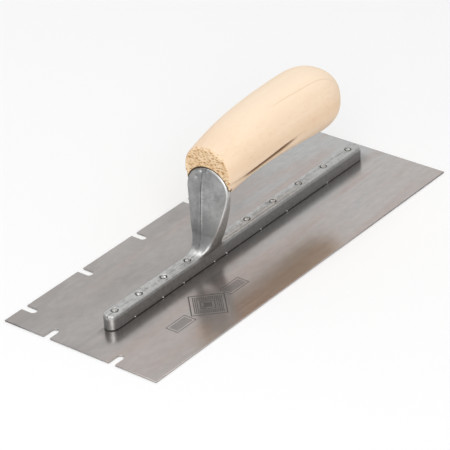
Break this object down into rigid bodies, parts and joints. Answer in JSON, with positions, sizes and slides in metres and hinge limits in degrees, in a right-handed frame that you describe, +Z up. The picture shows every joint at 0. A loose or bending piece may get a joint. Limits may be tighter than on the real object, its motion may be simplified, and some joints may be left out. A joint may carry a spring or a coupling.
{
  "type": "notched trowel",
  "caption": "Rectangular notched trowel with a thin steel blade, a riveted cast aluminium mounting and a contoured wooden handle.",
  "frame": {"origin": "on the floor, under the middle of the blade: the bottom centre of the whole tool's box", "axes": "+Z up; +Y along the blade towards the handle's rounded rear end; the notched long edge is at -X and the notched short edge at -Y"},
  "size_m": [0.1142, 0.2794, 0.0852],
  "materials": {
    "blade_steel": "ground and brushed along its length, satin, with light grey-brown streaks",
    "cast_aluminium": "as cast, lightly tumbled, satin, with a faint mould seam",
    "handle_wood": "pale sanded wood, bare, with sawn end grain at the front",
    "rivet_steel": "peened and ground, semi-bright",
    "bolt_steel": "zinc plated, semi-bright"
  },
  "bodies": {
    "root": {"blade": "blade_steel", "mounting": "cast_aluminium", "handle": "handle_wood", "rivet_01": "rivet_steel", "rivet_02": "rivet_steel", "rivet_03": "rivet_steel", "rivet_04": "rivet_steel", "rivet_05": "rivet_steel", "rivet_06": "rivet_steel", "rivet_07": "rivet_steel", "rivet_08": "rivet_steel", "rivet_09": "rivet_steel", "handle_bolt": "bolt_steel", "bolt_washer": "bolt_steel"}
  },
  "joints": []
}
